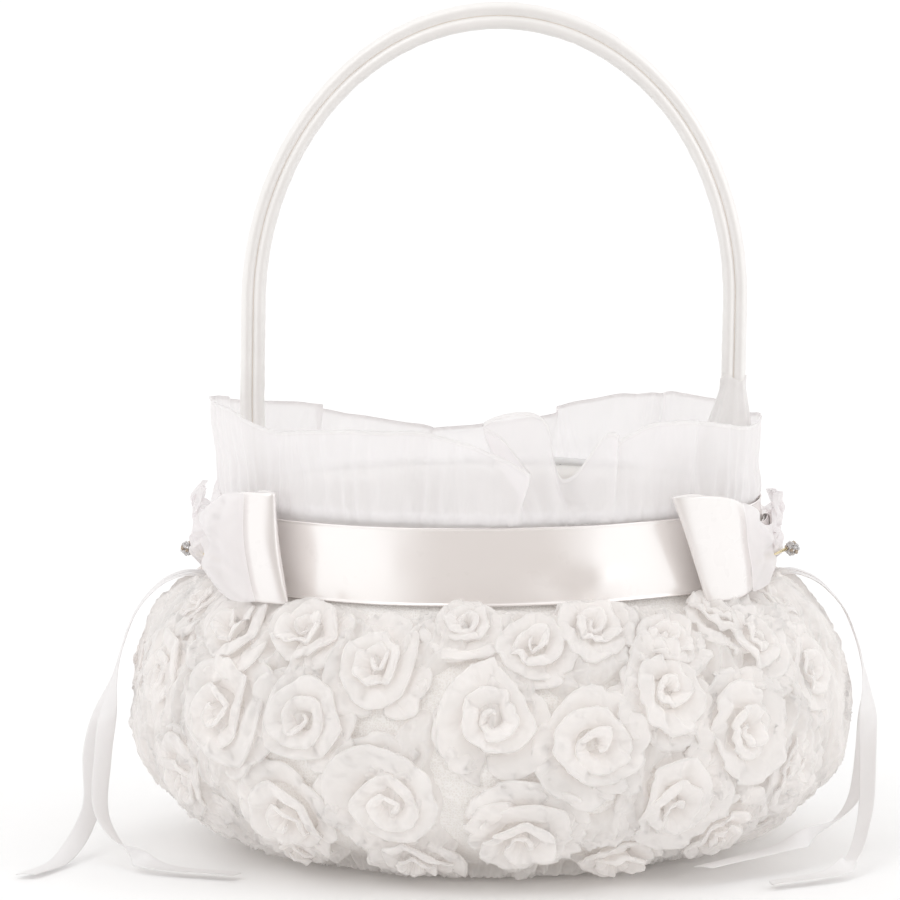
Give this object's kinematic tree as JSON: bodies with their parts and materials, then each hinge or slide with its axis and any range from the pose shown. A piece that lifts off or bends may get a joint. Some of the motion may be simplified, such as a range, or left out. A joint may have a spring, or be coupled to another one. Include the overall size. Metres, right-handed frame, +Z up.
{
  "type": "flower girl basket",
  "caption": "Round padded basket covered in fabric rosettes, with a sheer collar, ribbon trim, ribbon streamers and a hoop handle that tilts; holds loose petals.",
  "frame": {"origin": "on the table, under the centre of the round base", "axes": "+Z up; +X to the right through both handle feet; -Y towards the front"},
  "size_m": [0.27, 0.2332, 0.268],
  "materials": {
    "satin": "satin",
    "organza": "sheer",
    "tulle": "net over satin",
    "chiffon": "matt",
    "shell": "moulded",
    "board": "fibreboard",
    "foam": "felted pad",
    "wadding": "loose fibre",
    "steel": "drawn wire",
    "plastic": "moulded",
    "silver": "plated",
    "crystal": "faceted"
  },
  "bodies": {
    "basket": {"base_cover": "satin", "base_board": "board", "bowl_shell": "shell", "floor_pad": "foam", "wadding": "wadding", "lining": "satin", "outer_cover": "tulle", "rosette_strip_base": "chiffon", "rosette_strip_lower": "chiffon", "rosette_strip_upper": "chiffon", "rosette_strip_shoulder": "chiffon", "rim_wire": "steel", "organza_collar": "organza", "neck_band": "satin", "bow_left": "satin", "bow_right": "satin", "bow_knot_left": "satin", "bow_knot_right": "satin", "organza_pouf_left": "organza", "organza_pouf_right": "organza", "crystal_pin_left": "silver", "crystal_pin_right": "silver", "crystal_left": "crystal", "crystal_right": "crystal", "handle_rivet_left": "steel", "handle_rivet_right": "steel"},
    "handle": {"handle_sleeve": "satin", "handle_wire_outer": "steel", "handle_wire_inner": "steel", "handle_socket_left": "plastic", "handle_socket_right": "plastic"},
    "streamers_left": {"streamer_left_front": "satin", "streamer_left_rear": "satin"},
    "streamers_right": {"streamer_right_front": "satin", "streamer_right_rear": "satin"}
  },
  "joints": [
    {"name": "handle_tilt", "type": "hinge", "parent": "basket", "child": "handle", "pos_m": [0, 0, 0.0917], "axis": [1, 0, 0], "range_deg": [-28, 28]},
    {"name": "streamers_left_sway", "type": "hinge", "parent": "basket", "child": "streamers_left", "pos_m": [-0.0885, 0, 0.0864], "axis": [0, 1, 0], "range_deg": [0, 18]},
    {"name": "streamers_right_sway", "type": "hinge", "parent": "basket", "child": "streamers_right", "pos_m": [0.0885, 0, 0.0864], "axis": [0, -1, 0], "range_deg": [0, 18]}
  ]
}
